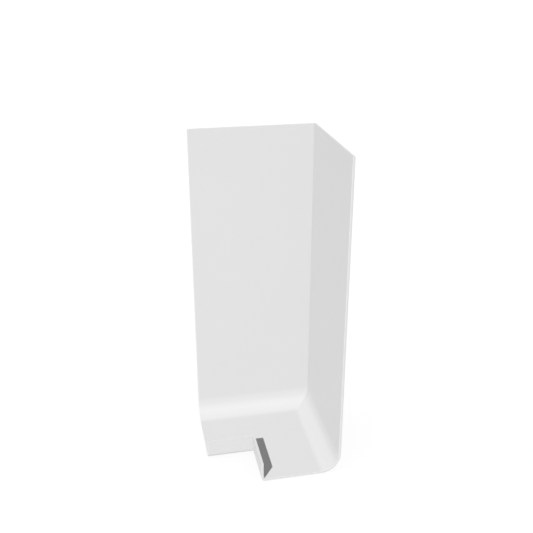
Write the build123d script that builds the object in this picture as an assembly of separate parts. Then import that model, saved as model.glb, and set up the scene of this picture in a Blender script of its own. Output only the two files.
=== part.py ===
from build123d import *
import os

# External fascia corner for the end of an eaves, moulded in one piece from white PVC-U.
# Both arms have one section: a tall wall, a bullnose, a flat return and an upturned lip.
# They run along -X and -Y from the outer corner and meet on a 45 degree mitre.

# Driving sizes, in millimetres
height = 300.0          # underside of the return to the top edge of the walls
arm_length = 118.0      # outer corner to the cut end of either arm
return_depth = 74.5     # outer face of a wall to the outer face of its lip
lip_height = 19.0       # underside of the return to the top of the lip
wall = 2.0              # thickness, the same all along the section
nose_inside = 17.0      # radius inside the bullnose
fold_inside = 1.5       # radius inside the fold where the lip turns up
edge_radius = 0.25      # softening of every exposed edge

# Largest softening of an edge, as a share of the wall that it runs along
edge_share = 0.45

node_name = "fascia_corner"

# The section is drawn across the arm along -X: its X runs inwards, its Y runs up
section_plane = Plane(origin=(0, 0, 0), x_dir=(0, -1, 0), z_dir=(-1, 0, 0))
# The mitre halves the corner, and its normal points to the arm along -X
mitre_plane = Plane(origin=(0, 0, 0), x_dir=(1, 1, 0), z_dir=(-1, 1, 0))


def skin(inset):
    """One skin of the section, at a depth below the outer skin, from wall top to lip top."""
    lip_face = return_depth - inset
    bends = [nose_inside + wall - inset, fold_inside + wall - inset]
    return FilletPolyline(
        (inset, height), (inset, inset), (lip_face, inset), (lip_face, lip_height), radius=bends
    )


def section():
    """The closed section, one wall thick from the top of the wall to the top of the lip."""
    outer = skin(0)
    inner = skin(wall)
    wall_top = Line(inner @ 0, outer @ 0)
    lip_top = Line(outer @ 1, inner @ 1)
    return make_face(outer + lip_top + inner + wall_top)


def mitred_arm():
    """The arm along -X: the section run out to its length and cut on the mitre."""
    arm = extrude(section_plane * section(), amount=arm_length)
    return split(arm, bisect_by=mitre_plane, keep=Keep.TOP)


def exposed_edges(corner):
    """The outlines of the top faces and of the cut ends, and the outer corner's upright edge."""
    flat_faces = corner.faces().filter_by(Plane.XY).sort_by(Axis.Z)
    wall_tops = flat_faces.group_by(Axis.Z)[-1]
    lip_tops = flat_faces.group_by(Axis.Z)[-2]
    cut_ends = [corner.faces().sort_by(Axis.X)[0], corner.faces().sort_by(Axis.Y)[0]]
    outlines = [edge for face in wall_tops + lip_tops + cut_ends for edge in face.edges()]
    uprights = corner.edges().filter_by(Axis.Z)
    outer_upright = uprights.sort_by(lambda edge: edge.center().X + edge.center().Y)[-1]
    return ShapeList(set(outlines)) + [outer_upright]


def whole_corner():
    """Both arms as one solid, the second a mirror image of the first in the mitre."""
    arm = mitred_arm()
    corner = arm + mirror(arm, about=mitre_plane)
    return fillet(exposed_edges(corner), radius=min(edge_radius, edge_share * wall))


# The origin is on the underside, below the middle of the box that holds the corner
fascia_corner = Pos(arm_length / 2, arm_length / 2, 0) * whole_corner()
fascia_corner.label = node_name
os.makedirs("parts", exist_ok=True)
export_step(fascia_corner, f"parts/{node_name}.step")
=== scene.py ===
"""Looks of a one-piece fascia corner: its moulded plastic, a pale floor, studio light and camera.

The moulding itself comes from the frame. Lengths are in metres, in the frame's own axes:
the arms run along -X and -Y from the outer corner, and the underside lies on Z = 0.
"""

import logging
import math
from dataclasses import dataclass
from enum import Enum

import bpy
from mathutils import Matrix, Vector


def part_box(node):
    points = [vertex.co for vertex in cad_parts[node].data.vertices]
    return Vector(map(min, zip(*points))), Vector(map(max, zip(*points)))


MILLIMETRE = 0.001
NODE_SPACING = 190
WHITE = (1.0, 1.0, 1.0, 1.0)
LOG = logging.getLogger("fascia_corner")

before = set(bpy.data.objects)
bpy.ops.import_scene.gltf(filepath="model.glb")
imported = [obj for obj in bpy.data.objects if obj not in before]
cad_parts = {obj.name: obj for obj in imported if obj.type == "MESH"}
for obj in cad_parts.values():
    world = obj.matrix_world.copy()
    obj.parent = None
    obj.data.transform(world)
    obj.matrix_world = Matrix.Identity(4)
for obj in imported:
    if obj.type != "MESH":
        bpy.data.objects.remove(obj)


class SocketKind(Enum):
    """What a socket of an effect group carries."""

    FLOAT = "NodeSocketFloat"
    VECTOR = "NodeSocketVector"


class NodeSheet:
    """A shader node tree with short calls to add nodes and links."""

    def __init__(self, tree: bpy.types.NodeTree) -> None:
        """Keeps the tree of a material, a group or a world."""
        self.tree = tree
        self.column = 0

    def add(self, kind: str, name: str, **settings: object) -> bpy.types.Node:
        """Adds one node, named and placed in a row.

        Args:
            kind: the node's type name.
            name: what the node is for, shown as its label.
            settings: attributes to set on the node.

        Returns:
            The new node.
        """
        node = self.tree.nodes.new(kind)
        node.name = name
        node.label = name
        node.location = (self.column * NODE_SPACING, 0)
        self.column += 1
        for attribute, value in settings.items():
            setattr(node, attribute, value)
        return node

    def link(self, source: bpy.types.NodeSocket, target: bpy.types.NodeSocket) -> None:
        """Joins an output to an input."""
        self.tree.links.new(source, target)

    def feed(self, value: object, target: bpy.types.NodeSocket) -> None:
        """Sends a socket or a plain value into an input.

        Args:
            value: an output socket, or a number, colour or vector.
            target: the input that takes it.
        """
        if isinstance(value, bpy.types.NodeSocket):
            self.link(value, target)
        else:
            target.default_value = value

    def maths(self, name: str, operation: str, *values: object) -> bpy.types.NodeSocket:
        """Adds a Math node.

        Args:
            name: what the result is.
            operation: the node's operation.
            values: its inputs in order, sockets or numbers.

        Returns:
            The result's socket.
        """
        node = self.add("ShaderNodeMath", name, operation=operation)
        for value, target in zip(values, node.inputs):
            self.feed(value, target)
        return node.outputs[0]

    def noise(
        self, name: str, place: bpy.types.NodeSocket, scale: object, detail: float
    ) -> bpy.types.NodeSocket:
        """Adds a Noise Texture.

        Args:
            name: what the noise stands for.
            place: the position that it is read at.
            scale: patches to the metre, a socket or a number.
            detail: how many finer layers it has.

        Returns:
            The noise's value, from 0 to 1.
        """
        node = self.add("ShaderNodeTexNoise", name)
        self.link(place, node.inputs["Vector"])
        self.feed(scale, node.inputs["Scale"])
        node.inputs["Detail"].default_value = detail
        return node.outputs["Fac"]

    def spread(
        self, name: str, value: bpy.types.NodeSocket, low: object, high: object
    ) -> bpy.types.NodeSocket:
        """Spreads a value from 0 to 1 over a range.

        Args:
            name: what the result is.
            value: the value to spread.
            low: the result where the value is 0.
            high: the result where the value is 1.

        Returns:
            The result's socket.
        """
        node = self.add("ShaderNodeMapRange", name)
        self.link(value, node.inputs["Value"])
        self.feed(low, node.inputs["To Min"])
        self.feed(high, node.inputs["To Max"])
        return node.outputs["Result"]


class EffectGroup:
    """A shader node group with named inputs and outputs, built once and placed in any material."""

    def __init__(self, name: str) -> None:
        """Starts a group that has an entry and an exit.

        Args:
            name: the group's name.
        """
        self.tree = bpy.data.node_groups.new(name, "ShaderNodeTree")
        self.sheet = NodeSheet(self.tree)
        self.entry = self.sheet.add("NodeGroupInput", "entry")
        self.exit = self.tree.nodes.new("NodeGroupOutput")

    def take(
        self, name: str, kind: SocketKind, default: float | None = None
    ) -> bpy.types.NodeSocket:
        """Adds an input to the group.

        Args:
            name: the input's name.
            kind: what it carries.
            default: its value where nothing is fed in, if it may be left so.

        Returns:
            The socket that the group's own nodes read.
        """
        socket = self.tree.interface.new_socket(name=name, in_out="INPUT", socket_type=kind.value)
        if default is not None:
            socket.default_value = default
        return self.entry.outputs[name]

    def give(self, name: str, kind: SocketKind, source: bpy.types.NodeSocket) -> None:
        """Adds an output to the group, which carries the source out."""
        self.tree.interface.new_socket(name=name, in_out="OUTPUT", socket_type=kind.value)
        self.sheet.link(source, self.exit.inputs[name])

    def place(self, sheet: NodeSheet, name: str, **values: object) -> bpy.types.Node:
        """Puts the group in a material.

        Args:
            sheet: the material's nodes.
            name: what it does there.
            values: inputs by name, with underscores for spaces.

        Returns:
            The placed node.
        """
        node = sheet.add("ShaderNodeGroup", name, node_tree=self.tree)
        for key, value in values.items():
            sheet.feed(value, node.inputs[key.replace("_", " ").capitalize()])
        return node


@dataclass(frozen=True)
class Grain:
    """The fine grain that a mould's steel leaves on plastic, over a slow swell of the skin."""

    detail: float = 2.0
    swell_breadth: float = 14.0
    swell_detail: float = 1.0
    swell_share: float = 0.6

    def group(self) -> EffectGroup:
        """Builds the effect.

        Returns:
            A group that gives a height and a mask of the grain's low spots.
        """
        group = EffectGroup("mould_grain")
        sheet = group.sheet
        place = group.take("Position", SocketKind.VECTOR)
        size = group.take("Grain size", SocketKind.FLOAT)
        per_metre = sheet.maths("grains to the metre", "DIVIDE", 1.0, size)
        fine = sheet.noise("fine grain", place, per_metre, self.detail)
        swells = sheet.maths("swells to the metre", "DIVIDE", per_metre, self.swell_breadth)
        broad = sheet.noise("slow swell of the skin", place, swells, self.swell_detail)
        height = sheet.maths("grain and swell", "MULTIPLY_ADD", broad, self.swell_share, fine)
        low_spots = sheet.spread("low spots", fine, 1.0, 0.0)
        group.give("Height", SocketKind.FLOAT, height)
        group.give("Low spots", SocketKind.FLOAT, low_spots)
        return group


@dataclass(frozen=True)
class Clouding:
    """The faint uneven tone of a large flat surface."""

    detail: float = 3.0
    darkest: float = 0.98
    lightest: float = 1.0

    def group(self) -> EffectGroup:
        """Builds the effect.

        Returns:
            A group that gives a tone between two limits.
        """
        group = EffectGroup("soft_clouding")
        sheet = group.sheet
        place = group.take("Position", SocketKind.VECTOR)
        patch = group.take("Patch size", SocketKind.FLOAT)
        low = group.take("Low", SocketKind.FLOAT, self.darkest)
        high = group.take("High", SocketKind.FLOAT, self.lightest)
        per_metre = sheet.maths("patches to the metre", "DIVIDE", 1.0, patch)
        cloud = sheet.noise("patches", place, per_metre, self.detail)
        group.give("Tone", SocketKind.FLOAT, sheet.spread("tone", cloud, low, high))
        return group


GRAIN = Grain().group()
CLOUDING = Clouding().group()


@dataclass(frozen=True)
class MouldedPlastic:
    """White PVC-U as moulded: a low even sheen, glossier on the show face than on the back."""

    slot: str = "white_pvcu"
    colour: tuple[float, float, float] = (0.80, 0.80, 0.80)
    refraction: float = 1.53
    back_roughness: float = 0.5
    face_roughness: float = 0.38
    low_spot_dulling: float = 0.06
    grain_size: float = 0.45 * MILLIMETRE
    grain_depth: float = 0.010 * MILLIMETRE
    patch_size: float = 45 * MILLIMETRE
    face_margin: float = 0.5 * MILLIMETRE

    def material(self, outer_corner: Vector) -> bpy.types.Material:
        """Builds the material.

        Args:
            outer_corner: a place on the outer corner, which both show faces pass through.

        Returns:
            The finished material.
        """
        made = bpy.data.materials.new(self.slot)
        made.use_nodes = True
        sheet = NodeSheet(made.node_tree)
        shader = made.node_tree.nodes["Principled BSDF"]
        place = sheet.add("ShaderNodeTexCoord", "place on the part").outputs["Object"]
        grain = GRAIN.place(sheet, "mould grain", position=place, grain_size=self.grain_size)
        cloud = CLOUDING.place(sheet, "uneven tone", position=place, patch_size=self.patch_size)
        self.tint(sheet, shader, cloud.outputs["Tone"])
        face = self.face_mask(sheet, place, outer_corner)
        self.gloss(sheet, shader, face, grain.outputs["Low spots"])
        bump = sheet.add("ShaderNodeBump", "skin relief")
        bump.inputs["Distance"].default_value = self.grain_depth
        sheet.link(grain.outputs["Height"], bump.inputs["Height"])
        sheet.link(bump.outputs["Normal"], shader.inputs["Normal"])
        shader.inputs["IOR"].default_value = self.refraction
        return made

    def tint(
        self, sheet: NodeSheet, shader: bpy.types.Node, tone: bpy.types.NodeSocket
    ) -> None:
        """Lays the white under the uneven tone.

        Args:
            sheet: the material's nodes.
            shader: the material's shader.
            tone: how light the white is at each place.
        """
        mix = sheet.add("ShaderNodeMix", "white", data_type="RGBA", blend_type="MULTIPLY")
        mix.inputs["Factor"].default_value = 1.0
        mix.inputs["A"].default_value = (*self.colour, 1.0)
        sheet.link(tone, mix.inputs["B"])
        sheet.link(mix.outputs["Result"], shader.inputs["Base Color"])

    def face_mask(
        self, sheet: NodeSheet, place: bpy.types.NodeSocket, outer_corner: Vector
    ) -> bpy.types.NodeSocket:
        """Finds the show face, which lies within the margin of either wall's outer plane.

        Args:
            sheet: the material's nodes.
            place: the position on the part.
            outer_corner: a place on the outer corner.

        Returns:
            A mask, 1 on the show face and 0 on the back.
        """
        parts = sheet.add("ShaderNodeSeparateXYZ", "place by axis")
        sheet.link(place, parts.inputs[0])
        from_x = outer_corner.x - self.face_margin
        from_y = outer_corner.y - self.face_margin
        on_x = sheet.maths("on the face towards X", "GREATER_THAN", parts.outputs["X"], from_x)
        on_y = sheet.maths("on the face towards Y", "GREATER_THAN", parts.outputs["Y"], from_y)
        return sheet.maths("show face", "MAXIMUM", on_x, on_y)

    def gloss(
        self,
        sheet: NodeSheet,
        shader: bpy.types.Node,
        face: bpy.types.NodeSocket,
        low_spots: bpy.types.NodeSocket,
    ) -> None:
        """Sets the roughness, from the side of the part and the grain.

        Args:
            sheet: the material's nodes.
            shader: the material's shader.
            face: 1 on the show face.
            low_spots: 1 in the grain's low spots, which are duller.
        """
        side = sheet.spread("roughness of the side", face, self.back_roughness, self.face_roughness)
        rough = sheet.maths(
            "duller low spots", "MULTIPLY_ADD", low_spots, self.low_spot_dulling, side
        )
        sheet.link(rough, shader.inputs["Roughness"])


@dataclass(frozen=True)
class Moulding:
    """The fascia corner, the one solid of the frame."""

    node: str = "fascia_corner"
    finish: MouldedPlastic = MouldedPlastic()

    def dress(self) -> bpy.types.Object:
        """Gives the moulding its finish.

        Returns:
            The moulding's object.
        """
        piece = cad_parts[self.node]
        outer_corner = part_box(self.node)[1]
        material = self.finish.material(outer_corner)
        for slot in piece.material_slots:
            slot.material = material
        return piece


class Falls(Enum):
    """What a lamp lights."""

    ON_PART = "the moulding only"
    ON_FLOOR = "the floor only"


@dataclass(frozen=True)
class Lamp:
    """A far lamp.

    Attributes:
        name: the lamp's name.
        direction: where it stands, seen from the part.
        strength: how strongly it lights a face turned to it, in watts to the square metre.
        width_degrees: how wide it looks from the part.
        casts_shadow: whether things shade what lies behind them from it.
        falls: what it lights.
        mirrored: whether the gloss mirrors it.
    """

    name: str
    direction: tuple[float, float, float]
    strength: float
    width_degrees: float
    casts_shadow: bool
    falls: Falls = Falls.ON_PART
    mirrored: bool = True

    def hang(self, targets: dict[Falls, bpy.types.Collection]) -> bpy.types.Object:
        """Hangs the lamp.

        Args:
            targets: the collection of what each kind of lamp lights.

        Returns:
            The lamp's object.
        """
        sun = bpy.data.lights.new(self.name, "SUN")
        sun.energy = self.strength
        sun.angle = math.radians(self.width_degrees)
        sun.use_shadow = self.casts_shadow
        lamp = bpy.data.objects.new(self.name, sun)
        lamp.rotation_mode = "QUATERNION"
        lamp.rotation_quaternion = Vector(self.direction).to_track_quat("Z", "Y")
        lamp.light_linking.receiver_collection = targets[self.falls]
        lamp.visible_glossy = self.mirrored
        bpy.context.scene.collection.objects.link(lamp)
        return lamp


LAMPS = (
    Lamp("key", (-0.4477, -0.6061, 0.6574), 3.506, 1.0, True),
    Lamp("fill_front", (0.0, -1.0, 0.0), 0.314, 5.0, False),
    Lamp("fill_low_left", (-0.866, 0.0, -0.5), 0.536, 5.0, False),
    Lamp("fill_low_corner", (-0.354, -0.354, -0.866), 1.382, 5.0, False),
    Lamp("fill_back_left", (-0.641, 0.641, 0.423), 0.077, 5.0, False),
    Lamp("fill_back", (0.0, 0.643, 0.766), 0.455, 5.0, False),
    Lamp("fill_behind", (0.641, 0.641, 0.423), 0.436, 5.0, False),
    Lamp("fill_behind_x", (0.926, 0.368, -0.087), 1.85, 10.0, False, mirrored=False),
    Lamp("fill_behind_y", (0.368, 0.926, -0.087), 1.7, 10.0, False, mirrored=False),
    Lamp("floor_wash", (0.0, 0.0, 1.0), 3.19, 5.0, False, Falls.ON_FLOOR),
    Lamp("floor_soft", (-0.15, -0.2, 1.0), 0.3, 110.0, True, Falls.ON_FLOOR),
)


@dataclass(frozen=True)
class Floor:
    """The matte pale floor, a many-sided disc far wider than the view."""

    radius: float = 20.0
    sides: int = 64
    tone: float = 0.9
    roughness: float = 0.8

    def lay(self) -> bpy.types.Object:
        """Lays the floor.

        Returns:
            The floor's object.
        """
        mesh = bpy.data.meshes.new("floor")
        ring = [2 * math.pi * step / self.sides for step in range(self.sides)]
        points = [(self.radius * math.cos(a), self.radius * math.sin(a), 0.0) for a in ring]
        mesh.from_pydata(points, [], [tuple(range(self.sides))])
        mesh.materials.append(self.material())
        floor = bpy.data.objects.new("floor", mesh)
        bpy.context.scene.collection.objects.link(floor)
        return floor

    def material(self) -> bpy.types.Material:
        """Builds the floor's material, which has no gloss.

        Returns:
            The material.
        """
        made = bpy.data.materials.new("pale_floor")
        made.use_nodes = True
        shader = made.node_tree.nodes["Principled BSDF"]
        shader.inputs["Base Color"].default_value = (self.tone, self.tone, self.tone, 1.0)
        shader.inputs["Roughness"].default_value = self.roughness
        shader.inputs["Specular IOR Level"].default_value = 0.0
        return made


@dataclass(frozen=True)
class Studio:
    """The light and the camera.

    Attributes:
        sky_strength: how strongly the sky lights the scene. The camera sees it at full white.
        lens: the lens in millimetres.
        sensor: the sensor's width in millimetres.
        nearest: where the camera starts to see.
        farthest: where it stops.
        camera_place: where the camera stands.
        camera_down: how many degrees below level it looks.
        camera_right: how many degrees it is turned right from the Y axis.
    """

    sky_strength: float = 0.037
    lens: float = 50.178
    sensor: float = 36.0
    nearest: float = 0.01
    farthest: float = 100.0
    camera_place: tuple[float, float, float] = (-0.11953, -0.59137, 0.45256)
    camera_down: float = 23.7105
    camera_right: float = 11.5216

    def lights(self, part: bpy.types.Object, floor: bpy.types.Object) -> None:
        """Hangs the lamps under an even sky, with no light thrown on from face to face.

        Args:
            part: the moulding.
            floor: the floor.
        """
        targets = {}
        for falls, lit in ((Falls.ON_PART, part), (Falls.ON_FLOOR, floor)):
            targets[falls] = bpy.data.collections.new(f"lit_{falls.name.lower()}")
            targets[falls].objects.link(lit)
        for lamp in LAMPS:
            lamp.hang(targets)
        bpy.context.scene.world = self.sky()
        bpy.context.scene.cycles.diffuse_bounces = 0

    def sky(self) -> bpy.types.World:
        """Makes the even sky, which shows white past the floor's far edge and lights less.

        Returns:
            The world.
        """
        world = bpy.data.worlds.new("studio")
        world.use_nodes = True
        sheet = NodeSheet(world.node_tree)
        background = world.node_tree.nodes["Background"]
        background.inputs["Color"].default_value = WHITE
        rays = sheet.add("ShaderNodeLightPath", "kind of ray")
        seen = rays.outputs["Is Camera Ray"]
        brightness = sheet.spread("brightness", seen, self.sky_strength, 1.0)
        sheet.link(brightness, background.inputs["Strength"])
        return world

    def camera(self) -> bpy.types.Object:
        """Sets the camera at the photograph's place and angle.

        Returns:
            The camera.
        """
        lens = bpy.data.cameras.new("camera")
        lens.lens = self.lens
        lens.sensor_width = self.sensor
        lens.clip_start = self.nearest
        lens.clip_end = self.farthest
        camera = bpy.data.objects.new("camera", lens)
        camera.location = self.camera_place
        up_from_straight_down = math.radians(90 - self.camera_down)
        camera.rotation_euler = (up_from_straight_down, 0.0, math.radians(-self.camera_right))
        bpy.context.scene.collection.objects.link(camera)
        bpy.context.scene.camera = camera
        return camera


def main() -> None:
    """Builds everything in order and reports each piece."""
    logging.basicConfig(level=logging.INFO, format="%(name)s: %(message)s")
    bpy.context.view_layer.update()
    moulding = Moulding().dress()
    LOG.info("moulding %s dressed in %s", moulding.name, moulding.material_slots[0].material.name)
    floor = Floor().lay()
    studio = Studio()
    studio.lights(moulding, floor)
    LOG.info("stage %s, lit by %d lamps", floor.name, len(LAMPS))
    LOG.info("camera %s", studio.camera().name)
    bpy.context.scene.view_settings.view_transform = "Standard"


if __name__ == "__main__":
    main()
